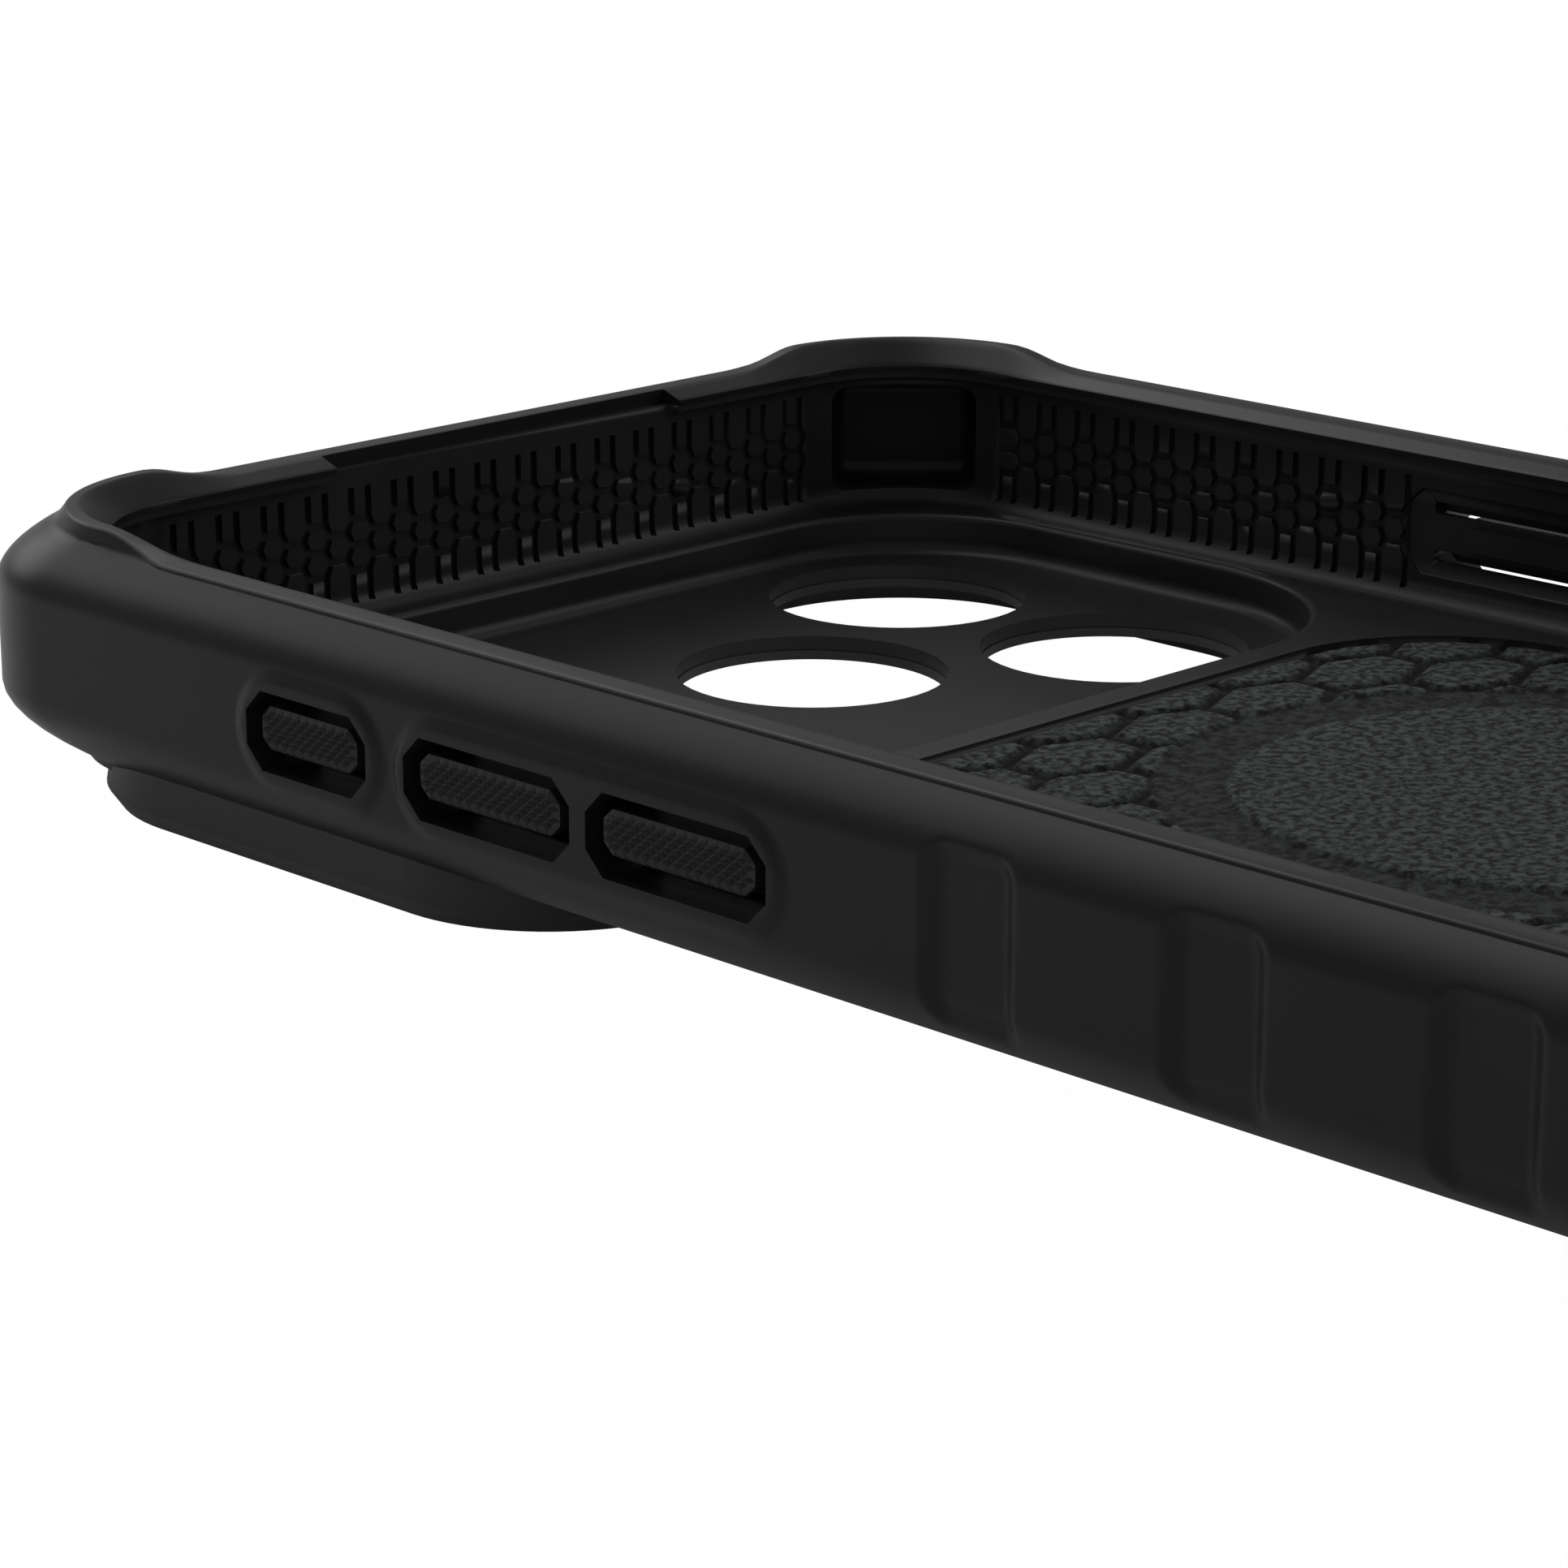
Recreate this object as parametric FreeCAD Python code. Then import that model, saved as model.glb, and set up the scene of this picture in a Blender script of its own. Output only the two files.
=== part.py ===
import FreeCAD, Part
import math
import os

# Rugged phone case. Millimetres. +X is the side-button side, +Y the camera end and +Z the
# open front. Z = 0 is the underside of the camera guard and the Z axis is the case's middle.

# The phone that the case holds
phone_width = 71.9
phone_length = 150.0
phone_thickness = 8.75
phone_corner = 8.9

# Walls and layers, from the pocket outwards
pocket_clearance = 0.2
liner_wall = 1.0
land_offset = 1.9
land_width = 1.2
bulge = 2.7
lip_overlap = 0.85
frame_lip = 0.4
liner_lip = 0.4
liner_lip_setback = 0.06
bevel_drop = 0.55
bevel_run = 1.55
corner_raise = 1.0
corner_foot = 1.1
corner_lean = 0.2
core_reach = 2.0
transition_start = 5.7
transition_length = 8.9

# Corner radii of the outer skin at its land, its widest band and its foot
land_radius = 9.7
peak_radius = 11.0
bulge_radius = 10.9
foot_radius = 11.0
edge_radius = 10.2
lip_radius = 8.2
bevel_radius_growth = 0.7
upper_slope = 3.2
band_height = 5.9
foot_inset = 2.4
slope_power = 1.9
slope_rows = (0.0, 0.2, 0.42, 0.66, 0.86)
foot_rows = (0.2, 0.45, 0.7, 1.0)

# Floor, camera recess and guard
liner_floor = 1.0
plate_thickness = 1.2
floor_fillet = 1.5
camera_step = 2.7
tub_floor = 0.9
tub_wall = 0.9
tub_side_margin = 1.45
tub_length = 42.1
tub_top_margin = 2.0
tub_upper_radius = 12.0
tub_lower_radius = 14.0
tub_fillet = 1.0
tub_mouth_round = 0.5
mouth_steps = 4
guard_plate = 0.58
guard_recess = 1.22
guard_rim_side = 5.8
guard_rim_top = 1.7
guard_rim_low = 5.0
guard_recess_radius = 11.0
guard_recess_draft = 0.3
guard_side_margin = 3.0
guard_bottom_margin = 0.9
guard_top_margin = 0.8
guard_upper_radius = 12.2
guard_lower_radius = 11.0
guard_chamfer = 0.7
guard_waist = 1.0
guard_draft = 0.35

# Lens and flash openings
lens_radius = 8.25
lens_step = 0.1
lens_side_margin = 12.5
lens_top_margin = 10.95
lens_pitch_x = 17.3
lens_pitch_y = 18.55
flash_side_margin = 9.2
flash_width = 9.0
flash_length = 24.0

# Lining pad
pad_side_margin = 3.15
pad_top_margin = 2.7
pad_bottom_margin = 4.2
pad_radius = 12.0
pad_thickness = 0.55
adhesive_thickness = 0.1
pad_recess = 0.75
ridge_width = 0.5
ridge_height = 0.15
pad_gap = 0.15
adhesive_inset = 0.5

# Magnets
magnet_center_y = -4.6
magnet_inner_radius = 23.0
magnet_width = 4.4
magnet_count = 18
magnet_gap = 0.35
magnet_thickness = 0.55
shunt_thickness = 0.2
film_thickness = 0.1
film_margin = 0.4
magnet_fit = 0.1
bar_width = 6.2
bar_length = 17.0
bar_gap = 5.0

# Buttons: middle along Y and cap length
button_z_below_rim = 6.3
cap_height = 2.4
cap_cut = 0.65
cap_proud = 0.05
cap_travel = 0.4
travel_clearance = 0.15
cap_round = 0.12
opening_gap_y = 1.0
opening_gap_z = 1.0
opening_cut = 1.25
opening_drop = 0.2
pad_cut = 1.6
pad_margin = 0.75
pad_proud = 0.25
pad_slope = 0.3
pad_depth = 2.5
action_y = 44.9
action_length = 7.8
volume_up_y = 30.7
volume_down_y = 16.95
volume_length = 10.6
side_y = 23.3
side_length = 13.4
strip_above_button = 0.7
strip_height = 2.3
strip_thickness = 0.55
slot_height = 0.75
slot_margin_y = 0.3
housing_margin_z = 0.85
housing_margin_y = 2.2
presser_height = 1.5
presser_thickness = 0.4
presser_inset_y = 2.3
presser_cut = 0.5
presser_gap = 0.05
stem_height = 0.9
stem_inset_y = 3.0
stem_clearance = 0.12
stem_root = 0.5

# Ports and cut-outs in the wall
port_width = 14.0
port_height = 6.4
speaker_width = 13.0
speaker_height = 3.4
speaker_x = 18.5
control_y = -22.0
control_length = 22.0
control_height = 5.6
port_drop = 0.4
end_flat = 0.05

# Grip flutes
flute_width = 5.4
flute_depth = 0.8
flute_first_y = -1.9
flute_pitch = 14.5
flute_count = 4
flute_top = 1.8
flute_bottom = 10.2
flute_round = 1.2

# Lip notch at the camera end, and the cushion pocket in each corner
notch_half = 14.3
notch_depth = 1.8
window_width = 9.7
window_height = 7.1
window_top = 2.0
window_round = 1.0
cushion_depth = 2.2

# Worked-out planes and outlines
half_x = phone_width / 2 + pocket_clearance
half_y = phone_length / 2 + pocket_clearance
pocket_radius = phone_corner + pocket_clearance
z_tub_under = guard_recess + guard_plate
z_recess = z_tub_under + tub_floor
z_floor = z_recess + camera_step
z_back = z_floor - liner_floor - plate_thickness
z_plate_top = z_floor - liner_floor
z_lip_under = z_floor + phone_thickness
z_parting = z_lip_under + liner_lip
z_lip_top = z_parting + frame_lip
z_rim = z_lip_top + bevel_drop
z_peak = z_rim + corner_raise
z_foot = z_back - corner_foot
z_button = z_rim - button_z_below_rim
z_strip = z_button + strip_above_button
bulge_offset = land_offset + bulge
tub_half_width = half_x - tub_side_margin
tub_top_y = half_y - tub_top_margin
tub_bottom_y = tub_top_y - tub_length
guard_half_width = tub_half_width + tub_wall + guard_side_margin
lens_column_x = tub_half_width - lens_side_margin
lens_inner_x = lens_column_x - lens_pitch_x
lens_top_y = tub_top_y - lens_top_margin
flash_x = flash_side_margin - tub_half_width
pad_half_width = half_x - pad_side_margin
pad_top_y = tub_bottom_y - pad_top_margin
magnet_outer_radius = magnet_inner_radius + magnet_width
groove_depth = film_thickness + magnet_thickness + shunt_thickness
groove_floor = z_plate_top - groove_depth
z_pad = z_floor - pad_recess
ramp_x = half_x - pocket_radius - transition_start
ramp_y = half_y - pocket_radius - transition_start

# Steps along the curves, and how far the cutting blocks run past what they cut
ramp_steps = 12
bevel_stations = 14
bevel_reach = 0.8
cut_over = 3.0
far_away = 200.0


def save(node, shape):
    """Check a finished piece and write it under its node's name."""
    shape = shape.removeSplitter() if len(shape.Solids) == 1 else shape
    if not shape.isValid():
        shape.fix(0.001, 0.001, 0.001)
    print(node, "valid", shape.isValid(), "solids", len(shape.Solids), "volume", round(shape.Volume, 2))
    shape.exportStep(os.path.join("parts", node + ".step"))


def point(x, y, z=0.0):
    return FreeCAD.Vector(x, y, z)


def box(x0, x1, y0, y1, z0, z1):
    low = point(min(x0, x1), min(y0, y1), min(z0, z1))
    return Part.makeBox(abs(x1 - x0), abs(y1 - y0), abs(z1 - z0), low)


def rounded_wire(x0, x1, y0, y1, z, top_radius, low_radius=None):
    """Rectangle with round corners; the upper and lower corners may differ."""
    low_radius = top_radius if low_radius is None else low_radius
    edges = []
    spots = [
        (x1, y1, top_radius, 0.0),
        (x0, y1, top_radius, 90.0),
        (x0, y0, low_radius, 180.0),
        (x1, y0, low_radius, 270.0),
    ]
    arcs = []
    for x, y, radius, start in spots:
        centre_x = x - math.copysign(radius, x - (x0 + x1) / 2)
        centre_y = y - math.copysign(radius, y - (y0 + y1) / 2)
        centre = point(centre_x, centre_y, z)
        arcs.append(Part.makeCircle(radius, centre, point(0, 0, 1), start, start + 90.0))
    for index, arc in enumerate(arcs):
        following = arcs[(index + 1) % 4]
        edges.append(arc)
        edges.append(Part.makeLine(arc.Vertexes[-1].Point, following.Vertexes[0].Point))
    return Part.Wire(Part.__sortEdges__(edges))


def ring_wire(offset, radius, z):
    """Outline of the case at one distance outside the pocket wall."""
    x = half_x + offset
    y = half_y + offset
    return rounded_wire(-x, x, -y, y, z, radius)


def prism(wire, height):
    return Part.Face(wire).extrude(point(0, 0, height))


def octagon_yz(x, y_mid, z_mid, length, height, cut, depth):
    """Prism along X on an octagon in the YZ plane."""
    a = length / 2
    b = height / 2
    corners = [
        (-a + cut, -b), (a - cut, -b), (a, -b + cut), (a, b - cut),
        (a - cut, b), (-a + cut, b), (-a, b - cut), (-a, -b + cut),
    ]
    points = [point(x, y_mid + v, z_mid + w) for v, w in corners]
    points.append(points[0])
    return Part.Face(Part.makePolygon(points)).extrude(point(depth, 0, 0))


def rounded_box_yz(x, y_mid, z_mid, length, height, radius, depth):
    """Prism along X on a rectangle with round corners in the YZ plane."""
    wire = rounded_wire(-length / 2, length / 2, -height / 2, height / 2, 0, radius)
    solid = prism(wire, depth)
    solid.rotate(point(0, 0, 0), point(1, 0, 0), 90)
    solid.rotate(point(0, 0, 0), point(0, 0, 1), 90)
    solid.translate(point(x, y_mid, z_mid))
    return solid


def ease(share):
    share = min(1.0, max(0.0, share))
    return share * share * (3.0 - 2.0 * share)


def raise_share(x, y):
    """0 along the walls, 1 round the corners, with an S-shaped ramp between."""
    along_y = ease((abs(y) - ramp_y) / transition_length)
    along_x = ease((abs(x) - ramp_x) / transition_length)
    return along_y if abs(y) < ramp_y + transition_length else along_x


def ramp_cutter(level, lift, along_x):
    """Block that trims a face of the frame to its S-shaped ramps, one pair of walls at a time."""
    ramp = ramp_x if along_x else ramp_y
    end = ramp + transition_length
    sign = 1.0 if lift > 0 else -1.0
    curve = []
    for step in range(ramp_steps + 1):
        s = ramp + transition_length * step / ramp_steps
        curve.append((s, level + lift * ease(step / ramp_steps)))
    spline = Part.BSplineCurve()
    level_end = point(1, 0, 0)
    rising = [point(s, 0, z) for s, z in curve]
    spline.interpolate(rising, InitialTangent=level_end, FinalTangent=level_end)
    far = level + sign * (abs(lift) + cut_over)
    mirror = Part.BSplineCurve()
    mirrored = [point(-s, 0, z) for s, z in reversed(curve)]
    mirror.interpolate(mirrored, InitialTangent=level_end, FinalTangent=level_end)
    edges = [
        Part.makeLine(point(-ramp, 0, level), point(ramp, 0, level)),
        spline.toShape(),
        Part.makeLine(point(end, 0, level + lift), point(end, 0, far)),
        Part.makeLine(point(end, 0, far), point(-end, 0, far)),
        Part.makeLine(point(-end, 0, far), point(-end, 0, level + lift)),
        mirror.toShape(),
    ]
    face = Part.Face(Part.Wire(Part.__sortEdges__(edges)))
    reach = half_y + bulge_offset + cut_over if along_x else half_x + bulge_offset + cut_over
    solid = face.extrude(point(0, 2 * reach, 0))
    solid.translate(point(0, -reach, 0))
    if along_x:
        return solid
    solid.rotate(point(0, 0, 0), point(0, 0, 1), 90)
    return solid


def trim_ramps(body, level, lift):
    """Lower the straight walls and leave the corners standing proud."""
    inner_x = half_x - pocket_radius + core_reach
    inner_y = half_y - pocket_radius + core_reach
    core_x = box(-inner_x, inner_x, -far_away, far_away, level - far_away, level + far_away)
    core_y = box(-far_away, far_away, -inner_y, inner_y, level - far_away, level + far_away)
    end_x = ramp_cutter(level, lift, True)
    side_y = ramp_cutter(level, lift, False)
    body = body.cut(end_x.cut(core_y))
    return body.cut(side_y.cut(core_x))


def bevel_loop(offset, radius, share_of_run, level=None):
    """Closed curve round the rim, on the bevel's slope or at one level."""
    slope_run = bevel_run * share_of_run
    x = half_x + offset
    y = half_y + offset
    centre_x = x - radius
    centre_y = y - radius
    quarter = []
    for step in range(-2, bevel_stations + 3):
        turn = math.pi / 2 * min(bevel_stations, max(0, step)) / bevel_stations
        px = centre_x + radius * math.cos(turn)
        py = centre_y + radius * math.sin(turn)
        if step < 0:
            py = ramp_y + (centre_y - ramp_y) * (step + 2) / 2
        if step > bevel_stations:
            px = centre_x - (centre_x - ramp_x) * (step - bevel_stations) / 2
        rise = (bevel_drop + corner_raise * raise_share(px, py)) / bevel_run
        quarter.append(point(px, py, z_lip_top + rise * slope_run if level is None else level))
    quads = []
    for sx, sy in ((1, 1), (-1, 1), (-1, -1), (1, -1)):
        points = [point(p.x * sx, p.y * sy, p.z) for p in quarter]
        quads.append(points if sx * sy > 0 else list(reversed(points)))
    edges = []
    for index, quad in enumerate(quads):
        curve = Part.BSplineCurve()
        curve.interpolate(quad)
        edges.append(curve.toShape())
        edges.append(Part.makeLine(quad[-1], quads[(index + 1) % 4][0]))
    return edges


def bevel_cutter():
    """Funnel whose sloping side is the bevel from the land down past the lip's edge."""
    inward = -lip_overlap - bevel_reach
    outward = -lip_overlap + bevel_run + bevel_reach
    low_share = -bevel_reach / bevel_run
    high_share = 1.0 + bevel_reach / bevel_run
    inner_radius = lip_radius - bevel_radius_growth * bevel_reach
    outer_radius = lip_radius + bevel_radius_growth * (bevel_run + bevel_reach)
    base = bevel_loop(inward, inner_radius, 0, z_parting - cut_over)
    low = bevel_loop(inward, inner_radius, low_share)
    high = bevel_loop(outward, outer_radius, high_share)
    top = bevel_loop(outward, outer_radius, 0, z_peak + cut_over)
    faces = [Part.makeRuledSurface(a, b) for a, b in zip(base, low)]
    faces += [Part.makeRuledSurface(a, b) for a, b in zip(low, high)]
    faces += [Part.makeRuledSurface(a, b) for a, b in zip(high, top)]
    faces.append(Part.Face(Part.Wire(base)))
    faces.append(Part.Face(Part.Wire(top)))
    shell = Part.makeShell(faces)
    shell.sewShape()
    solid = Part.makeSolid(shell if shell.ShapeType == "Shell" else shell.Shells[0])
    if solid.Volume < 0:
        solid.reverse()
    return solid


def bulge_share(height_share):
    """Convex run of the upper slope, from the land at 0 to the widest band at 1."""
    return 1.0 - (1.0 - height_share) ** slope_power


def frame_skin():
    """Outer skin of the bumper from its foot to above the raised corners."""
    upper = [ring_wire(land_offset - corner_raise * corner_lean, peak_radius, z_peak)]
    for share in slope_rows:
        offset = land_offset + bulge * bulge_share(share)
        radius = land_radius + (bulge_radius - land_radius) * bulge_share(share)
        upper.append(ring_wire(offset, radius, z_rim - upper_slope * share))
    z_wide = z_rim - upper_slope
    upper.append(ring_wire(bulge_offset, bulge_radius, z_wide))
    z_narrow = z_wide - band_height
    band = prism(ring_wire(bulge_offset, bulge_radius, z_narrow), band_height)
    lower = [ring_wire(bulge_offset, bulge_radius, z_narrow)]
    drop = z_narrow - z_back
    for share in foot_rows:
        offset = bulge_offset - foot_inset * share ** slope_power
        radius = bulge_radius + (foot_radius - bulge_radius) * share
        lower.append(ring_wire(offset, radius, z_narrow - drop * share))
    slope = foot_inset * slope_power / drop
    lower.append(ring_wire(bulge_offset - foot_inset - slope * corner_foot, edge_radius, z_foot))
    top = Part.makeLoft(upper, True, False)
    foot = Part.makeLoft(lower, True, False)
    return band.fuse([top, foot])


def corner_windows(depth_from, depth_to):
    """Round-cornered window in each corner wall, between two radii from the corner's centre."""
    z_mid = z_rim - window_top - window_height / 2
    tools = []
    for sx, sy in ((1, 1), (-1, 1), (-1, -1), (1, -1)):
        tool = rounded_box_yz(0, 0, z_mid, window_width, window_height, window_round, far_away)
        centre = point(sx * (half_x - pocket_radius), sy * (half_y - pocket_radius), 0)
        tool.rotate(point(0, 0, 0), point(0, 0, 1), math.degrees(math.atan2(sy, sx)))
        tool.translate(centre)
        outer = Part.makeCylinder(depth_to, z_peak, centre)
        ring = outer.cut(Part.makeCylinder(depth_from, z_peak, centre))
        tools.append(tool.common(ring))
    return tools


BUTTONS = (
    ("action_button", -1, action_y, action_length),
    ("volume_up_button", -1, volume_up_y, volume_length),
    ("volume_down_button", -1, volume_down_y, volume_length),
    ("side_button", 1, side_y, side_length),
)


def opening_tools():
    """Octagonal openings for the caps."""
    tools = []
    for name, side, y_mid, length in BUTTONS:
        long = length + 2 * opening_gap_y
        high = cap_height + 2 * opening_gap_z
        depth = side * (bulge_offset + pad_proud + 1)
        z_mid = z_button - opening_drop
        tools.append(octagon_yz(side * half_x, y_mid, z_mid, long, high, opening_cut, depth))
    return tools


def button_pads():
    """Low pads with sloping edges that stand proud of the wall round each group of openings."""
    pads = []
    face = half_x + bulge_offset + pad_proud
    groups = [
        (-1, action_y, action_length),
        (-1, (volume_up_y + volume_down_y) / 2, volume_up_y - volume_down_y + volume_length),
        (1, side_y, side_length),
    ]
    for side, y_mid, length in groups:
        long = length + 2 * (opening_gap_y + pad_margin)
        high = cap_height + 2 * (opening_gap_z + pad_margin)
        z_mid = z_button - opening_drop
        pad = octagon_yz(side * (face - pad_depth), y_mid, z_mid, long, high, pad_cut, side * pad_depth)
        pads.append(pad.makeChamfer(pad_slope, face_edges(pad, side * face)))
    return pads


def flute_tools():
    """Shallow grip flutes, left out where the far wall has its touch-control cut-out."""
    tools = []
    z_mid = z_rim - (flute_top + flute_bottom) / 2
    tall = flute_bottom - flute_top
    start = half_x + bulge_offset - flute_depth
    for index in range(flute_count):
        y_mid = flute_first_y - index * flute_pitch
        for side in (-1, 1):
            near_control = abs(y_mid - control_y) < control_length / 2 + flute_width / 2 + 1.0
            if side > 0 and near_control:
                continue
            x0 = start if side > 0 else -start - cut_over
            tools.append(rounded_box_yz(x0, y_mid, z_mid, flute_width, tall, flute_round, cut_over))
    return tools


def wall_cutouts():
    """Charging port, the two speaker slots and the touch-control cut-out, through every layer."""
    z_mid = (z_floor + z_lip_under) / 2 - port_drop
    deep = bulge_offset + lip_overlap + 2.0
    tools = []
    spans = [(0.0, port_width, port_height), (-speaker_x, speaker_width, speaker_height)]
    spans.append((speaker_x, speaker_width, speaker_height))
    for x_mid, width, height in spans:
        tool = rounded_box_yz(0, 0, z_mid, width, height, height / 2 - end_flat, deep)
        tool.rotate(point(0, 0, 0), point(0, 0, 1), -90)
        tool.translate(point(x_mid, -half_y + lip_overlap, 0))
        tools.append(tool)
    start = half_x - lip_overlap
    half = control_height / 2
    tools.append(rounded_box_yz(start, control_y, z_mid, control_length, 2 * half, half - end_flat, deep))
    return tools


def holes(radius, grow, z0, z1):
    """Three lens holes and the long flash hole between two heights."""
    spots = [
        (lens_column_x, lens_top_y),
        (lens_column_x, lens_top_y - lens_pitch_y),
        (lens_inner_x, lens_top_y - lens_pitch_y / 2),
    ]
    tools = [Part.makeCylinder(radius + grow, z1 - z0, point(x, y, z0)) for x, y in spots]
    y_mid = lens_top_y - lens_pitch_y / 2
    half_w = flash_width / 2 + grow
    half_l = flash_length / 2 + grow
    wire = rounded_wire(
        flash_x - half_w, flash_x + half_w, y_mid - half_l, y_mid + half_l, z0,
        half_w - end_flat,
    )
    tools.append(prism(wire, z1 - z0))
    return tools


def tub_wire(grow, z):
    """Outline of the camera recess, grown outwards by one wall where asked."""
    return rounded_wire(
        -tub_half_width - grow, tub_half_width + grow, tub_bottom_y - grow, tub_top_y + grow, z,
        tub_upper_radius + grow, tub_lower_radius + grow,
    )


def tub_mouth():
    """Flare that rounds the recess's upper edge."""
    rows = []
    for step in range(mouth_steps + 1):
        turn = math.pi / 2 * step / mouth_steps
        grow = tub_mouth_round * (1.0 - math.cos(turn))
        rows.append(tub_wire(grow, z_floor - tub_mouth_round * (1.0 - math.sin(turn))))
    rows.append(tub_wire(tub_mouth_round, z_floor + tub_mouth_round))
    return Part.makeLoft(rows, True, True)


def face_edges(solid, x):
    """Edges of a solid that lie in one plane across X."""
    chosen = []
    for edge in solid.Edges:
        if max(abs(edge.BoundBox.XMin - x), abs(edge.BoundBox.XMax - x)) < 1e-4:
            chosen.append(edge)
    return chosen


def fillet_at(solid, radius, z):
    """Round the edges that lie at one height."""
    chosen = [e for e in solid.Edges if abs(e.BoundBox.ZMin - z) < 1e-4 and abs(e.BoundBox.ZMax - z) < 1e-4]
    return solid.makeFillet(radius, chosen)


def pocket_tool():
    """The phone's own space: a rounded block with its lower edge filleted."""
    tool = prism(ring_wire(0, pocket_radius, z_floor), z_lip_under - z_floor)
    return fillet_at(tool, floor_fillet, z_floor)


def pad_wire(grow, z):
    y0 = -half_y + pad_bottom_margin
    x = pad_half_width + grow
    return rounded_wire(-x, x, y0 - grow, pad_top_y + grow, z, pad_radius + grow)


def lip_notch(y_outer):
    """The lip is cut back over the middle of the camera end."""
    y_inner = half_y - lip_overlap - 1
    return box(-notch_half, notch_half, y_inner, y_outer, z_rim - notch_depth, z_peak + cut_over)


def build_outer_frame():
    """Bumper: raised corners, grip flutes, button openings, and the upper half of the lip."""
    body = frame_skin()
    body = trim_ramps(body, z_rim, corner_raise)
    body = trim_ramps(body, z_back, -corner_foot)
    body = body.fuse(button_pads())
    body = body.cut(bevel_cutter())
    body = body.cut(prism(ring_wire(-lip_overlap, lip_radius, z_parting - 1), far_away))
    seat = ring_wire(liner_wall, pocket_radius + liner_wall, z_foot - 1)
    body = body.cut(prism(seat, z_parting - z_foot + 1))
    tools = opening_tools() + flute_tools() + wall_cutouts()
    tools.append(lip_notch(half_y + land_offset - land_width))
    first = pocket_radius + liner_wall
    tools += corner_windows(first - 1.0, first + cushion_depth)
    return body.cut(tools)


def button_housing_tools():
    """Recess, slots and stem hole for each button in the liner's wall."""
    tools = []
    z_mid = z_strip
    for name, side, y_mid, length in BUTTONS:
        tall = strip_height + 2 * (slot_height + housing_margin_z)
        long = length + 2 * housing_margin_y
        recess = liner_wall - strip_thickness
        start = half_x - 1.0 if side > 0 else -half_x - recess
        tools.append(octagon_yz(start, y_mid, z_mid, long, tall, opening_cut, 1.0 + recess))
        for way in (-1, 1):
            z_slot = z_mid + way * (strip_height + slot_height) / 2
            slot = rounded_box_yz(
                half_x - 1 if side > 0 else -half_x - 2, y_mid, z_slot,
                length + 2 * slot_margin_y, slot_height, slot_height / 2 - end_flat, cut_over,
            )
            tools.append(slot)
        stem_long = length - 2 * stem_inset_y + 2 * stem_clearance
        stem_high = stem_height + 2 * stem_clearance
        x0 = side * (half_x - 1)
        x1 = side * (half_x + cut_over)
        y0 = y_mid - stem_long / 2
        z0 = z_mid - stem_high / 2
        tools.append(box(x0, x1, y0, y0 + stem_long, z0, z0 + stem_high))
    return tools


def build_inner_liner():
    """Soft liner: pocket wall, lower half of the lip, floor, camera tub and pad recess."""
    body = prism(ring_wire(liner_wall, pocket_radius + liner_wall, z_plate_top), z_parting - z_plate_top)
    tub = fillet_at(prism(tub_wire(tub_wall, z_tub_under), z_floor - z_tub_under), tub_fillet, z_tub_under)
    body = body.fuse(tub)
    body = body.cut(pocket_tool())
    lip = liner_lip_setback - lip_overlap
    body = body.cut(prism(ring_wire(lip, lip_radius + liner_lip_setback, z_lip_under - 1), cut_over))
    ridge = prism(pad_wire(ridge_width, z_floor - pad_recess), pad_recess + ridge_height)
    body = body.fuse(ridge)
    recess = fillet_at(prism(tub_wire(0, z_recess), cut_over + 1), tub_fillet, z_recess)
    body = body.cut([recess, tub_mouth()])
    body = body.cut(prism(pad_wire(0, z_pad), cut_over))
    tools = button_housing_tools() + wall_cutouts() + holes(lens_radius, lens_step, 0, z_floor)
    tools.append(lip_notch(half_y))
    tools += corner_windows(pocket_radius - 2.0, pocket_radius + liner_wall + 0.5)
    return body.cut(tools)


def build_back_plate():
    """Hard back plate: window for the camera tub, and seats for the magnets from above."""
    body = prism(ring_wire(liner_wall, pocket_radius + liner_wall, z_back), plate_thickness)
    body = body.cut(prism(tub_wire(tub_wall, z_back - 1), cut_over))
    inner = magnet_inner_radius - film_margin
    outer = magnet_outer_radius + film_margin
    body = body.cut(ring_groove(inner, outer, groove_floor, cut_over))
    return body.cut(bar_block(magnet_fit, groove_floor, cut_over))


def ring_groove(inner, outer, z0, height):
    centre = point(0, magnet_center_y, z0)
    return Part.makeCylinder(outer, height, centre).cut(Part.makeCylinder(inner, height, centre))


def bar_block(grow, z0, height):
    """Block of the alignment magnet, below the ring."""
    y1 = magnet_center_y - magnet_outer_radius - film_margin - bar_gap
    half = bar_width / 2 + grow
    return box(-half, half, y1 - bar_length - grow, y1 + grow, z0, z0 + height)


def build_magnet_ring():
    """Curved magnets in a ring, each apart from the next."""
    z0 = groove_floor + shunt_thickness
    ring = ring_groove(magnet_inner_radius, magnet_outer_radius, z0, magnet_thickness)
    step = 360.0 / magnet_count
    slits = []
    for index in range(magnet_count):
        half = magnet_gap / 2
        slit = box(magnet_inner_radius - 1, magnet_outer_radius + 1, -half, half, z0 - 1, z0 + 1)
        slit.rotate(point(0, 0, 0), point(0, 0, 1), index * step + step / 2)
        slit.translate(point(0, magnet_center_y, 0))
        slits.append(slit)
    return ring.cut(slits)


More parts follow.
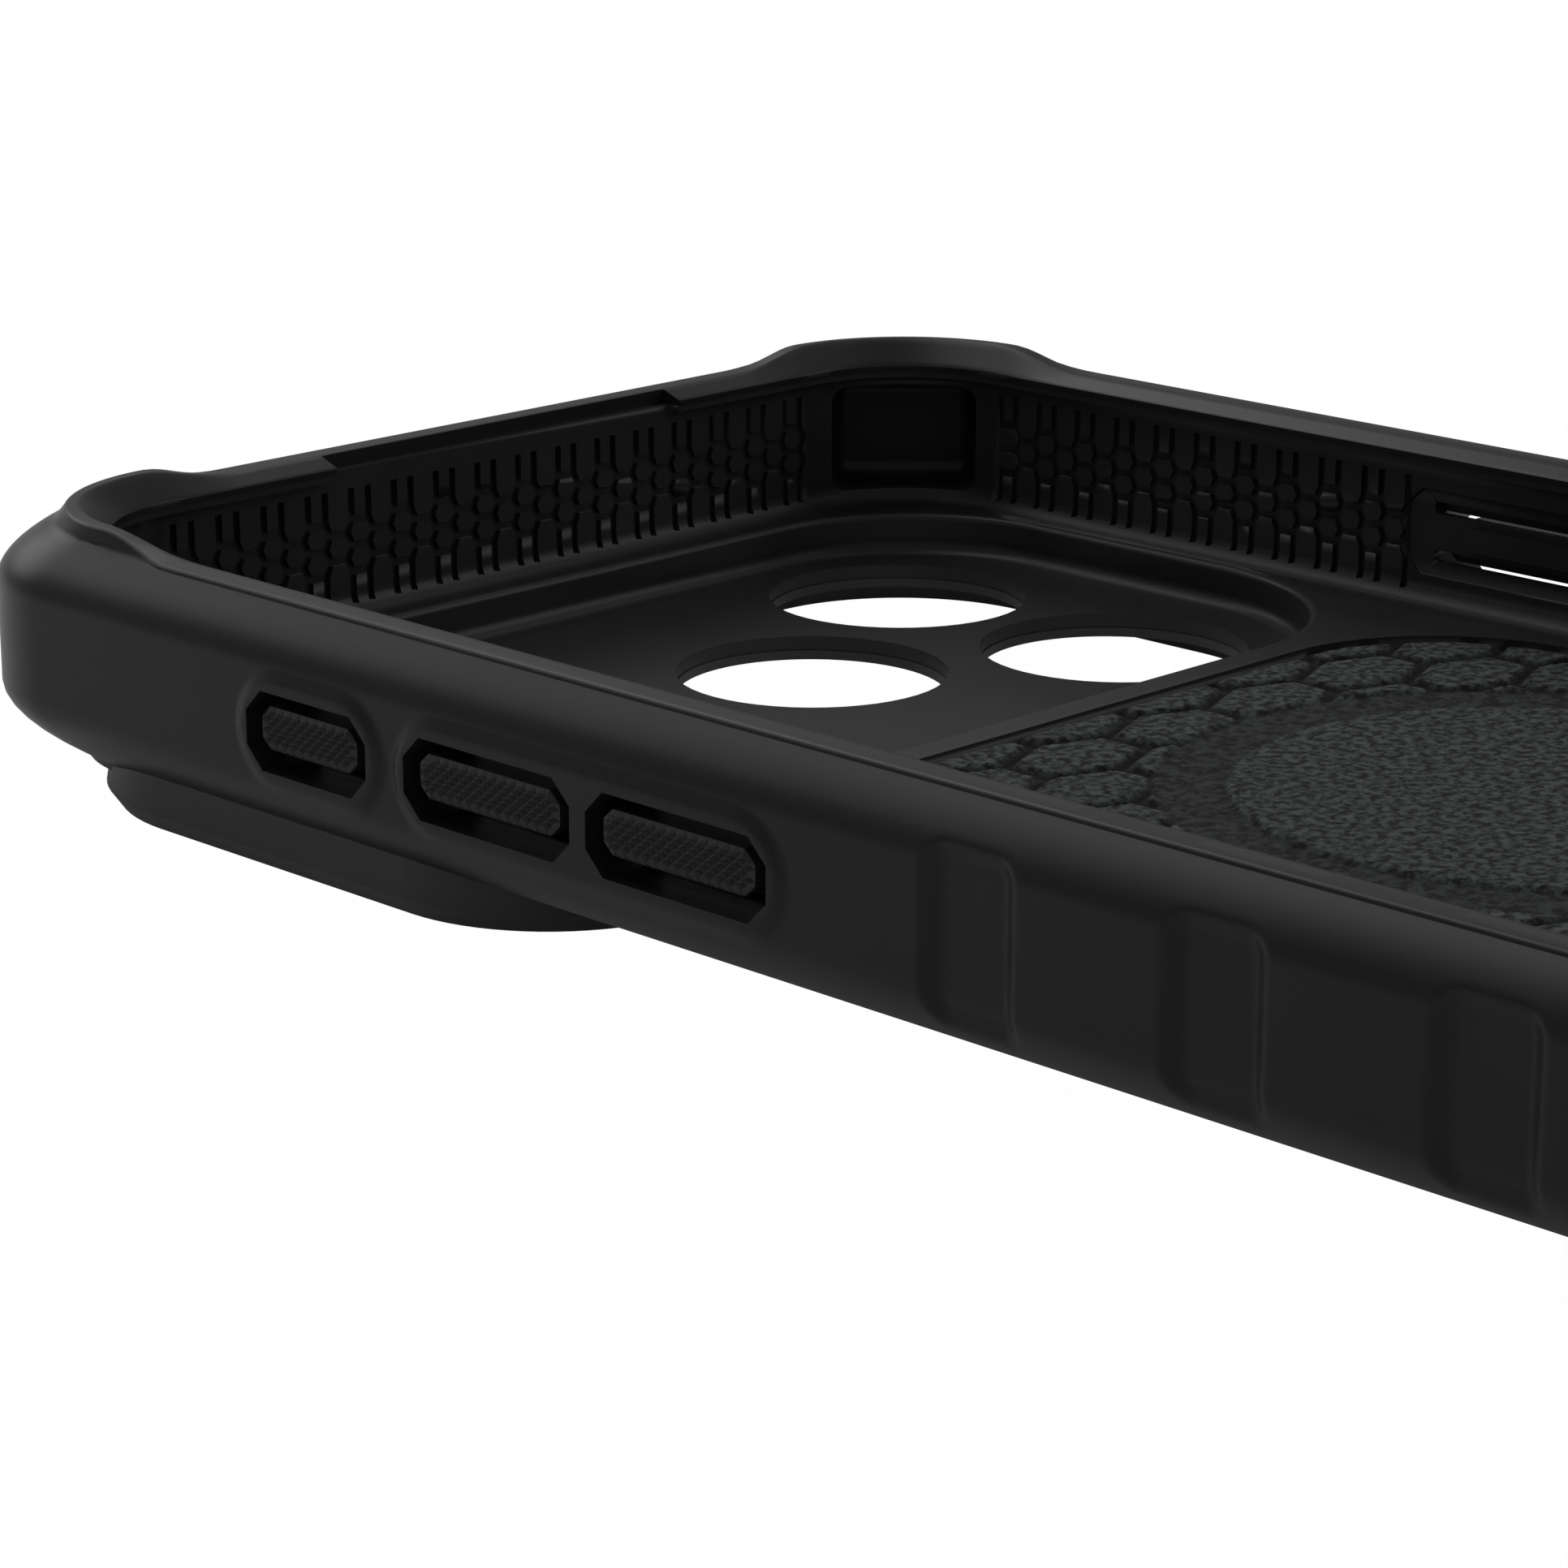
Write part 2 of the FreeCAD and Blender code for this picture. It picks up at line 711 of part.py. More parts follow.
def build_camera_guard():
    """Raised guard round the lenses, under the back plate, with a broad rim round its thin middle."""
    y0 = tub_bottom_y - tub_wall - guard_bottom_margin
    y1 = tub_top_y + guard_top_margin

    def outline(inset, z):
        return rounded_wire(
            -guard_half_width + inset, guard_half_width - inset, y0 + inset, y1 - inset, z,
            guard_upper_radius - inset, guard_lower_radius - inset,
        )

    upper = Part.makeLoft([outline(guard_draft, z_back), outline(0, guard_waist)], True, True)
    lower = Part.makeLoft([outline(0, guard_waist), outline(guard_chamfer, 0)], True, True)
    body = upper.fuse(lower)

    def hollow(inset, z):
        x = guard_half_width - guard_rim_side - inset
        low = y0 + guard_rim_low + inset
        high = y1 - guard_rim_top - inset
        return rounded_wire(-x, x, low, high, z, guard_recess_radius - inset)

    body = body.cut(Part.makeLoft([hollow(0, 0), hollow(guard_recess_draft, guard_recess)], True, True))
    tub = fillet_at(prism(tub_wire(tub_wall, z_tub_under), z_floor - z_tub_under), tub_fillet, z_tub_under)
    body = body.cut(tub)
    return body.cut(holes(lens_radius, 0, -1, z_floor))


def build_button(side, y_mid, length):
    """Cap with its stem through the flexing strip of the liner."""
    x_face = half_x + bulge_offset + pad_proud + cap_proud
    x_rear = half_x + liner_wall + cap_travel + travel_clearance
    cap = octagon_yz(side * x_rear, y_mid, z_button, length, cap_height, cap_cut, side * (x_face - x_rear))
    cap = cap.makeChamfer(cap_round, face_edges(cap, side * x_face))
    x_inner = half_x + liner_wall - strip_thickness - presser_gap
    stem_long = length - 2 * stem_inset_y
    y0 = y_mid - stem_long / 2
    z0 = z_strip - stem_height / 2
    stem = box(side * x_inner, side * (x_rear + stem_root), y0, y0 + stem_long, z0, z0 + stem_height)
    return cap.fuse(stem)


def build_presser(side, y_mid, length):
    """Low pad on the stem's inner end, which presses the phone's own button."""
    x_outer = side * (half_x + liner_wall - strip_thickness - presser_gap)
    long = length - 2 * presser_inset_y
    return octagon_yz(x_outer, y_mid, z_strip, long, presser_height, presser_cut, -side * presser_thickness)


os.makedirs("parts", exist_ok=True)
outer_frame = build_outer_frame()
save("outer_frame", outer_frame)
save("inner_liner", build_inner_liner())
save("back_plate", build_back_plate())
save("camera_guard", build_camera_guard().cut(outer_frame))
save("lining_adhesive", prism(pad_wire(-adhesive_inset, z_pad), adhesive_thickness))
save("lining_pad", prism(pad_wire(-pad_gap, z_pad + adhesive_thickness), pad_thickness))
shunt = ring_groove(magnet_inner_radius, magnet_outer_radius, groove_floor, shunt_thickness)
save("magnet_shunt", shunt)
save("magnet_ring", build_magnet_ring())
film_inner = magnet_inner_radius - film_margin / 2
film_outer = magnet_outer_radius + film_margin / 2
film = ring_groove(film_inner, film_outer, z_plate_top - film_thickness, film_thickness)
save("magnet_film", film)
save("alignment_magnet", bar_block(0, groove_floor, groove_depth))
for name, side, y_mid, length in BUTTONS:
    save(name + "_cap", build_button(side, y_mid, length))
    save(name + "_presser", build_presser(side, y_mid, length))
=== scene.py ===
import math
import bpy
import bmesh
import numpy as np
from mathutils import Matrix, Vector


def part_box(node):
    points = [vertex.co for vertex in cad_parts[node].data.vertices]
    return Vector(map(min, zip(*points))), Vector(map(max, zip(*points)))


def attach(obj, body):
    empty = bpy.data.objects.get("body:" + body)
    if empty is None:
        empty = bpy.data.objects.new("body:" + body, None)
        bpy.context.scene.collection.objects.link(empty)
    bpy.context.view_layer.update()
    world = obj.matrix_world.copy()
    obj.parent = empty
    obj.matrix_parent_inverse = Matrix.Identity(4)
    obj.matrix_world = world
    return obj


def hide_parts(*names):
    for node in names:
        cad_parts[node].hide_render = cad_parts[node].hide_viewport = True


# A rugged phone case, built up in the order that it is put together, in one frame with its CAD
# part. Sizes are in millimetres and become metres on the way into a mesh. +X is the side-button
# side, +Y the camera end and +Z the open front.

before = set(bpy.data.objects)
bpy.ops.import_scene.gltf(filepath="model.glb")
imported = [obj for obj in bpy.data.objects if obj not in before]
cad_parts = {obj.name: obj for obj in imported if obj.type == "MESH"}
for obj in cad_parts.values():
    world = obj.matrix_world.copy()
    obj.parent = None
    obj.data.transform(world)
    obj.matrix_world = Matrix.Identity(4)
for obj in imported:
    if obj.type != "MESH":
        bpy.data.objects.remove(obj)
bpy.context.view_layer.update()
MM = 0.001


# ---- Inner liner
# The soft layer that grips the phone: black TPU, injection moulded in one shot. Grooves in its
# walls leave a honeycomb of small cushions. Its floor, tray and windows are the CAD part's own.

HALF_X, HALF_Y = 36.15, 75.2
COMB_PITCH, COMB_RISE, COMB_FLAT = 1.7, 1.63, 0.665
COMB_Z, COMB_TOP, COMB_LOW = 9.72, 13.3, 6.1
GROOVE_WIDTH, GROOVE_DEPTH, GROOVE_CLEAR = 0.5, 0.34, 0.75


def srgb(code):
    """Linear colour from an sRGB hex code, by the standard curve for each channel."""
    parts = [int(code[i:i + 2], 16) / 255 for i in (1, 3, 5)]
    return tuple(c / 12.92 if c <= 0.04045 else ((c + 0.055) / 1.055) ** 2.4 for c in parts) + (1.0,)


def add_node(tree, kind, settings=None, values=None, links=None):
    """A node with its settings, the values of its sockets and the outputs that feed them."""
    node = tree.nodes.new(kind)
    for name, setting in (settings or {}).items():
        setattr(node, name, setting)
    for socket, value in (values or {}).items():
        node.inputs[socket].default_value = value
    for socket, source in (links or {}).items():
        tree.links.new(source, node.inputs[socket])
    return node


def new_material(name, values):
    """A material with a shader of the given values, its node tree and that shader."""
    material = bpy.data.materials.new(name)
    material.use_nodes = True
    shader = material.node_tree.nodes["Principled BSDF"]
    for socket, value in values.items():
        shader.inputs[socket].default_value = value
    return material, material.node_tree, shader


def ramp_between(tree, source, low, high):
    """A colour ramp on an output, from a (place, hex code) to another."""
    ramp = add_node(tree, "ShaderNodeValToRGB", links={"Fac": source})
    for element, (place, code) in zip(ramp.color_ramp.elements, (low, high)):
        element.position = place
        element.color = srgb(code)
    return ramp


CLOUD_SIZE = 7.14


def moulded(name, dark, light, roughness, specular, grain, relief):
    """A moulded surface: spark-eroded grain of a size in mm as bump, under slow shifts in tone."""
    material, tree, shader = new_material(name, {"Roughness": roughness, "Specular IOR Level": specular})
    place = add_node(tree, "ShaderNodeTexCoord").outputs["Object"]
    erosion = add_node(
        tree, "ShaderNodeTexNoise",
        values={"Scale": 1.0 / (grain * MM), "Detail": 3.0, "Roughness": 0.6}, links={"Vector": place},
    )
    bump = add_node(
        tree, "ShaderNodeBump",
        values={"Strength": relief, "Distance": 0.03 * MM}, links={"Height": erosion.outputs["Fac"]},
    )
    clouds = add_node(
        tree, "ShaderNodeTexNoise",
        values={"Scale": 1.0 / (CLOUD_SIZE * MM), "Detail": 2.0}, links={"Vector": place},
    )
    ramp = ramp_between(tree, clouds.outputs["Fac"], (0.3, dark), (0.7, light))
    tree.links.new(bump.outputs["Normal"], shader.inputs["Normal"])
    tree.links.new(ramp.outputs["Color"], shader.inputs["Base Color"])
    return material


def dress(piece, material):
    piece.data.materials.clear()
    piece.data.materials.append(material)


def surface(name, verts, faces, smooth=True, sharp=None):
    """An object from points in mm and faces, smooth or flat, with edges sharp past an angle."""
    mesh = bpy.data.meshes.new(name)
    mesh.from_pydata((np.asarray(verts) * MM).tolist(), [], [tuple(int(i) for i in face) for face in faces])
    mesh.validate()
    mesh.polygons.foreach_set("use_smooth", np.full(len(mesh.polygons), smooth))
    if sharp is not None:
        mesh.set_sharp_from_angle(angle=math.radians(sharp))
    piece = bpy.data.objects.new(name, mesh)
    bpy.context.scene.collection.objects.link(piece)
    return piece


def face_outward(piece):
    work = bmesh.new()
    work.from_mesh(piece.data)
    bmesh.ops.recalc_face_normals(work, faces=work.faces)
    work.to_mesh(piece.data)
    work.free()


def cut(piece, tools, name, sharp):
    """A new object: the piece with the tools cut out of it, smooth but for edges past an angle."""
    for tool in tools:
        step = piece.modifiers.new(tool.name, "BOOLEAN")
        step.operation = "DIFFERENCE"
        step.solver = "EXACT"
        step.object = tool
    graph = bpy.context.evaluated_depsgraph_get()
    mesh = bpy.data.meshes.new_from_object(piece.evaluated_get(graph))
    mesh.name = name
    mesh.materials.clear()
    mesh.polygons.foreach_set("use_smooth", np.full(len(mesh.polygons), True))
    mesh.set_sharp_from_angle(angle=math.radians(sharp))
    result = bpy.data.objects.new(name, mesh)
    bpy.context.scene.collection.objects.link(result)
    for used in [piece] + tools:
        bpy.data.objects.remove(used, do_unlink=True)
    return result


def even_normals(piece):
    """Shading that follows the large faces, so that cuts leave flat faces flat."""
    step = piece.modifiers.new("even_normals", "WEIGHTED_NORMAL")
    step.mode = "FACE_AREA"
    step.weight = 100
    step.keep_sharp = True


def comb_lines(middle, reach, low, high):
    """Groove lines of the honeycomb on one wall, as pairs of (s, z) points.

    Even columns hold two whole cells, one above the other, with a slot running up and one
    down from their ends. Odd columns hold only the level lines between their neighbours.
    """
    lines = set()

    def add(s0, z0, s1, z1):
        if low <= min(s0, s1) and max(s0, s1) <= high:
            lines.add(tuple(sorted([(round(s0, 3), round(z0, 3)), (round(s1, 3), round(z1, 3))])))

    near, wide = COMB_FLAT, COMB_PITCH - COMB_FLAT
    for column in range(-reach, reach + 1):
        s = middle + column * COMB_PITCH
        levels = (-0.5, 0.5) if column % 2 else (-1, 0, 1)
        for level in levels:
            z = COMB_Z + level * COMB_RISE
            add(s - near, z, s + near, z)
        if column % 2:
            continue
        for side in (-1, 1):
            for half in (-1, 1):
                z_mid = COMB_Z + half * COMB_RISE / 2
                add(s + side * near, COMB_Z + half * COMB_RISE, s + side * wide, z_mid)
                add(s + side * near, COMB_Z, s + side * wide, z_mid)
            add(s + side * near, COMB_Z + COMB_RISE, s + side * near, COMB_TOP)
            add(s + side * near, COMB_Z - COMB_RISE, s + side * near, COMB_LOW)
    return sorted(lines)


def groove_sheet(lines, width):
    """Flat mesh of grooves: a quad along each line and a small face where three or more meet.

    At a junction the edges of neighbouring grooves are carried on until they cross, and a
    groove that ends alone is cut off square.
    """
    ends = {}
    for a, b in lines:
        ends.setdefault(a, []).append(b)
        ends.setdefault(b, []).append(a)
    points, faces, corner = [], [], {}
    for node, others in ends.items():
        here = np.array(node)
        ways = sorted(others, key=lambda o: math.atan2(o[1] - node[1], o[0] - node[0]))
        rims = []
        for index, other in enumerate(ways):
            following = ways[(index + 1) % len(ways)]
            d0 = (np.array(other) - here) / np.linalg.norm(np.array(other) - here)
            d1 = (np.array(following) - here) / np.linalg.norm(np.array(following) - here)
            left = here + width / 2 * np.array([-d0[1], d0[0]])
            right = here + width / 2 * np.array([d1[1], -d1[0]])
            if len(ways) == 1:
                corner[(node, other, "left")] = len(points)
                corner[(node, other, "right")] = len(points) + 1
                points += [left, right]
                continue
            cross = d0[0] * d1[1] - d0[1] * d1[0]
            gap = right - left
            in_line = abs(cross) < 1e-6
            spot = (left + right) / 2 if in_line else left + d0 * (gap[0] * d1[1] - gap[1] * d1[0]) / cross
            corner[(node, other, "left")] = len(points)
            corner[(node, following, "right")] = len(points)
            rims.append(len(points))
            points.append(spot)
        if len(rims) > 2:
            faces.append(tuple(rims))
    faces += [
        (corner[(a, b, "right")], corner[(b, a, "left")], corner[(b, a, "right")], corner[(a, b, "left")])
        for a, b in lines
    ]
    return np.array(points), faces


def comb_cutter(name, lines, place):
    """Solid grooves: the flat sheet carried from inside the pocket into the wall, closed all round."""
    flat, faces = groove_sheet(lines, GROOVE_WIDTH)
    count = len(flat)
    verts = np.concatenate([place(flat[:, 0], flat[:, 1], depth) for depth in (-GROOVE_CLEAR, GROOVE_DEPTH)])
    edges = [pair for face in faces for pair in zip(face, face[1:] + face[:1])]
    known = set(edges)
    solid = []
    for face in faces:
        solid += [face, tuple(i + count for i in reversed(face))]
    solid += [(b, a, a + count, b + count) for a, b in dict.fromkeys(edges) if (b, a) not in known]
    cutter = surface(name, verts, solid, smooth=False)
    face_outward(cutter)
    return cutter


def on_side_wall(s, z, depth):
    return np.column_stack([np.full_like(s, HALF_X + depth), s, z])


def on_button_wall(s, z, depth):
    return np.column_stack([np.full_like(s, -HALF_X - depth), s, z])


def on_top_wall(s, z, depth):
    return np.column_stack([s, np.full_like(s, HALF_Y + depth), z])


combs = (
    ("comb_side", comb_lines(48.4, 22, 31.4, 66.4), on_side_wall),
    ("comb_button_wall", comb_lines(58.65, 12, 51.2, 66.4), on_button_wall),
    ("comb_top", comb_lines(-1.7, 32, -26.9, 26.9), on_top_wall),
    ("comb_side_low", comb_lines(-50.0, 22, -66.4, -35.5), on_side_wall),
    ("comb_grip_low", comb_lines(-50.0, 22, -66.4, -35.5), on_button_wall),
)
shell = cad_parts["inner_liner"]
liner = bpy.data.objects.new("liner_blank", shell.data.copy())
bpy.context.scene.collection.objects.link(liner)
weld = bmesh.new()
weld.from_mesh(liner.data)
bmesh.ops.remove_doubles(weld, verts=weld.verts, dist=1e-7)
weld.to_mesh(liner.data)
weld.free()
liner = cut(liner, [comb_cutter(*comb) for comb in combs], "liner", sharp=25.0)
even_normals(liner)
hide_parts("inner_liner")
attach(liner, "case")

# Soft TPU from an eroded tool: black, with a low sheen and a grain too fine to see as grains.
liner_tpu = moulded("liner_tpu", "#202020", "#242424", 0.38, 0.2, grain=0.1923, relief=0.12)
dress(liner, liner_tpu)
dress(shell, liner_tpu)


# ---- Button pressers
# Small pads of the liner's own TPU that pass each press on to the phone. They are moulded with
# the liner's strips behind the buttons.

BUTTONS = {
    "action_button": (-1, 44.9, 7.8),
    "volume_up_button": (-1, 30.7, 10.6),
    "volume_down_button": (-1, 16.95, 10.6),
    "side_button": (1, 23.3, 13.4),
}
for name in BUTTONS:
    dress(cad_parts[name + "_presser"], liner_tpu)


# ---- Back plate and camera guard
# Two stiff polycarbonate mouldings behind the liner. The plate carries the magnets, and the
# guard, bonded to it, stands proud round the lenses and is what the case lies on.

# Polycarbonate from a coarser tool: a shade lighter than the TPU, and duller.
polycarbonate = moulded("textured_polycarbonate", "#2a2a2b", "#303031", 0.5, 0.3, grain=0.1923, relief=0.2)
for name in ("back_plate", "camera_guard"):
    dress(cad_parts[name], polycarbonate)


# ---- Magnets
# A ring of curved magnets and a short bar, laid in the back plate. A steel ring behind them
# turns their field outwards, and a thin film covers them. All of it is hidden in a whole case.

# Nickel plate: a smooth warm grey metal.
nickel = moulded("nickel_magnet", "#9a9892", "#a8a6a0", 0.3, 0.5, grain=0.3333, relief=0.1)
nickel.node_tree.nodes["Principled BSDF"].inputs["Metallic"].default_value = 1.0
for name in ("magnet_ring", "magnet_shunt", "alignment_magnet"):
    dress(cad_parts[name], nickel)

# Acrylic tape: a milky pale grey, half glossy.
tape = moulded("clear_tape", "#8f8f8a", "#9a9a95", 0.4, 0.5, grain=0.3333, relief=0.1)
dress(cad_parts["magnet_film"], tape)


# ---- Bumper
# The tough outer frame, moulded from black TPU over the plate and the liner. Its corners stand
# up and out, soft grip flutes are pressed into its long walls, and low pads frame the buttons.

POCKET_R, LINER_WALL = 9.1, 1.0
Z_FLOOR, Z_BACK, Z_LIP_UNDER, Z_PARTING, Z_LIP_TOP, Z_RIM = 5.4, 3.2, 14.15, 14.55, 14.95, 15.5
RAISE, FOOT_DROP = 1.0, 1.1
RAMP_X, RAMP_Y, RAMP_LENGTH = 21.35, 60.4, 8.9
LIP, LAND_IN, LAND_OUT, BULGE = -0.85, 0.7, 1.9, 4.6
Z_WIDE, Z_NARROW, SHOULDER = 12.3, 6.4, 0.25
WALL_R, LAND_R, LIP_R = 10.9, 9.7, 8.2
FLUTES = (-1.9, -16.4, -30.9, -45.4)
FLUTE_HALF, FLUTE_TALL, FLUTE_Z, FLUTE_R, FLUTE_DEPTH, FLUTE_SOFT = 3.1, 4.8, 8.9, 1.5, 0.6, 1.25
PADS = ((-1, 44.9, 7.8), (-1, 23.825, 24.35), (1, 23.3, 13.4))
PAD_BAND, PAD_HALF, PAD_CORNER, PAD_PROUD, PAD_SOFT = 2.3, 3.5, 2.05, 0.3, 0.8
Z_OPENING = 9.0
OPENING_ROOM, OPENING_HEIGHT, OPENING_CHAMFER = 2.0, 4.4, 1.25
PORTS = ((0.0, 14.0, 6.4), (-18.5, 13.0, 3.4), (18.5, 13.0, 3.4))
CONTROL_Y, CONTROL_LENGTH, CONTROL_HEIGHT = -22.0, 22.0, 5.6
WINDOW_Z, WINDOW_WIDTH, WINDOW_HEIGHT, WINDOW_R, WINDOW_FILLET = 9.95, 9.7, 7.1, 1.35, 1.3
NOTCH_HALF = 14.3


def ease(t):
    """A soft step from 0 to 1: three t squared less two t cubed."""
    t = np.clip(t, 0.0, 1.0)
    return t * t * (3.0 - 2.0 * t)


def soft_least(a, b, reach):
    """The smaller of two distances, rounded off where they are about equal."""
    return np.minimum(a, b) - np.maximum(reach - np.abs(a - b), 0.0) ** 2 / (4.0 * reach)


def corner_share(x, y):
    """0 along the walls and 1 round the corners, with a soft ramp between."""
    along_y = ease((np.abs(y) - RAMP_Y) / RAMP_LENGTH)
    along_x = ease((np.abs(x) - RAMP_X) / RAMP_LENGTH)
    return np.where(np.abs(y) < RAMP_Y + RAMP_LENGTH, along_y, along_x)


def wall_stops():
    """Places along a long wall: every millimetre, and every fifth of one at pads and flutes."""
    stops = list(np.arange(-56.0, 56.01, 1.0))
    for side, y_mid, length in PADS:
        end = length / 2 + 2.6
        stops += list(np.arange(y_mid - end, y_mid + end, 0.22))
    for y_mid in FLUTES:
        stops += list(np.arange(y_mid - 3.6, y_mid + 3.61, 0.2))
    stops = sorted(stops)
    kept = [stops[0]]
    for stop in stops[1:]:
        if stop - kept[-1] > 0.11:
            kept.append(stop)
    return np.array(kept)


STOPS = wall_stops()
TURNS = np.linspace(0.0, math.pi / 2, 29)
SPAN = 10


def outline(offset, radius):
    """Closed outline of the case: a rectangle grown by an offset, with its corners rounded.

    It runs counter-clockwise from the middle of the +X wall. Each corner is an arc of the
    radius, and its stations are the same in number and order for every offset and radius.
    """
    wall, end = HALF_X + offset, HALF_Y + offset
    ax = wall - radius + radius * np.cos(TURNS)
    ay = end - radius + radius * np.sin(TURNS)
    edge_y = np.linspace(STOPS[-1], ay[0], SPAN + 1)[1:-1]
    edge_x = np.linspace(ax[-1], 20.0, SPAN + 1)[1:]
    middle = np.linspace(20.0, -20.0, 25)[1:]
    xs = [np.full(len(STOPS), wall), np.full(SPAN - 1, wall), ax, edge_x, middle]
    ys = [STOPS, edge_y, ay, np.full(SPAN, end), np.full(len(middle), end)]
    xs += [-edge_x[::-1][1:], -ax[::-1], np.full(SPAN - 1, -wall), np.full(len(STOPS), -wall)]
    ys += [np.full(SPAN - 1, end), ay[::-1], edge_y[::-1], STOPS[::-1]]
    xs += [np.full(SPAN - 1, -wall), -ax, -edge_x, -middle]
    ys += [-edge_y, -ay, np.full(SPAN, -end), np.full(len(middle), -end)]
    xs += [edge_x[::-1][1:], ax[::-1], np.full(SPAN - 1, wall)]
    ys += [np.full(SPAN - 1, -end), -ay[::-1], -edge_y[::-1]]
    return np.concatenate(xs), np.concatenate(ys)


def spread(out, radius):
    """Outline with its own offset and radius at each station, as both move it in a straight line."""
    x0, y0 = outline(0.0, 5.0)
    x1, y1 = outline(1.0, 5.0)
    x2, y2 = outline(0.0, 6.0)
    x = x0 + (x1 - x0) * out + (x2 - x0) * (radius - 5.0)
    y = y0 + (y1 - y0) * out + (y2 - y0) * (radius - 5.0)
    return x, y


station_x, station_y = outline(BULGE, WALL_R)
share = corner_share(station_x, station_y)
foot_z = Z_BACK - FOOT_DROP * share
rim_z = Z_RIM + RAISE * share


def skin_offset(z):
    """How far the skin stands outside the pocket's wall, and its corner radius, at a height.

    The broad band is upright. Below and above it the skin draws in by a power of 1.9 of the
    way to the foot and to the rim, and past the rim it leans in by a fifth.
    """
    low = np.clip((Z_NARROW - z) / (Z_NARROW - Z_BACK), 0, None)
    high = np.clip((z - Z_WIDE) / (Z_RIM - Z_WIDE), 0, 1)
    over = np.clip((z - Z_RIM) / RAISE, 0, None)
    bend = 1.0 - high ** 1.9
    out = np.where(z > Z_WIDE, LAND_OUT + (BULGE - LAND_OUT) * bend, BULGE - 2.4 * low ** 1.9) - 0.2 * over
    radius = np.where(z > Z_WIDE, LAND_R + (WALL_R - LAND_R) * bend, WALL_R + 0.1 * np.clip(low, 0, 1))
    radius = np.where(z < Z_BACK, WALL_R + 0.1 - 0.8 * (Z_BACK - z) / FOOT_DROP, radius)
    return out, radius + 1.3 * over


def skin_dent(x, y, z):
    """How far a long wall is pressed in by its flutes, less how far its pads stand out.

    A flute is a soft step over the distance inside a rounded rectangle, and a pad one over
    the distance inside an octagon whose corners are rounded off.
    """
    dent = np.zeros_like(z)
    for y_mid in FLUTES:
        across = np.abs(y - y_mid) - (FLUTE_HALF - FLUTE_R)
        along = np.abs(z - FLUTE_Z) - (FLUTE_TALL - FLUTE_R)
        beyond = np.hypot(np.maximum(across, 0), np.maximum(along, 0))
        inside = FLUTE_R - beyond - np.minimum(np.maximum(across, along), 0)
        clear = (x < 0) | (abs(y_mid - CONTROL_Y) > 14.0)
        dent += np.where(clear, FLUTE_DEPTH * ease(inside / FLUTE_SOFT), 0.0)
    for side, y_mid, length in PADS:
        a = length / 2 + PAD_BAND - np.abs(y - y_mid)
        b = PAD_HALF - np.abs(z - Z_OPENING)
        inside = soft_least(soft_least(a, b, 1.2), (a + b - PAD_CORNER) / math.sqrt(2.0), 1.2)
        dent -= np.where(x * side > 0, PAD_PROUD * ease(inside / PAD_SOFT), 0.0)
    return np.where(np.abs(x) > HALF_X, dent, 0.0)


def skin_row(z):
    """Points of the skin at a height of its own for each station."""
    x, y = spread(*skin_offset(z))
    return np.column_stack([x - np.sign(x) * skin_dent(x, y, z), y, z])


def plain_row(offset, radius, z):
    """Points of an outline that has one offset and one radius, at one height or many."""
    many = np.ones(len(station_x))
    x, y = spread(offset * many, radius * many)
    return np.column_stack([x, y, z * many])


def bumper_rows():
    """Outlines of the bumper's section: foot, band, slope, rim, bevel, lip and the inside."""
    rows = []
    top = rim_z - SHOULDER
    for step in np.linspace(0, 1, 9):
        rows.append(skin_row(foot_z + (Z_NARROW - foot_z) * step))
    for step in np.linspace(0, 1, 30)[1:]:
        rows.append(skin_row(np.full_like(top, Z_NARROW + (Z_WIDE - Z_NARROW) * step)))
    for step in np.linspace(0, 1, 24)[1:]:
        rows.append(skin_row(Z_WIDE + (top - Z_WIDE) * step))
    out, radius = skin_offset(top)
    for back, drop in ((0.04, 0.14), (0.11, 0.06), (0.2, 0.015), (0.3, 0.0)):
        x, y = spread(out - back, radius)
        rows.append(np.column_stack([x, y, rim_z - drop]))
    rows.append(plain_row(LAND_IN + 0.12, 9.35, rim_z))
    rows.append(plain_row(LAND_IN, 9.28, rim_z - 0.05))
    for part in (0.9, 0.75, 0.6, 0.45, 0.3, 0.15, 0.04):
        grown = (LAND_IN - LIP) * part
        rows.append(plain_row(LIP + grown, LIP_R + 0.7 * grown, Z_LIP_TOP + (rim_z - Z_LIP_TOP) * part))
    rows.append(plain_row(LIP, LIP_R, Z_LIP_TOP - 0.04))
    rows.append(plain_row(LIP, LIP_R, Z_PARTING))
    rows.append(plain_row(LINER_WALL, POCKET_R + LINER_WALL, Z_PARTING))
    rows.append(plain_row(LINER_WALL, POCKET_R + LINER_WALL, foot_z))
    return np.array(rows)


def grid_faces(numbers):
    """Quads between neighbours of a grid of vertex numbers."""
    corners = (numbers[:-1, :-1], numbers[:-1, 1:], numbers[1:, 1:], numbers[1:, :-1])
    return np.stack(corners, axis=-1).reshape(-1, 4)


def closed_tube(name, rows):
    """A ring-shaped solid: a section, whose points are the rows, carried round a closed outline."""
    numbers = np.arange(rows.shape[0] * rows.shape[1]).reshape(rows.shape[:2])
    wrapped = np.pad(numbers, ((0, 1), (0, 1)), mode="wrap")
    piece = surface(name, rows.reshape(-1, 3), grid_faces(wrapped))
    face_outward(piece)
    return piece


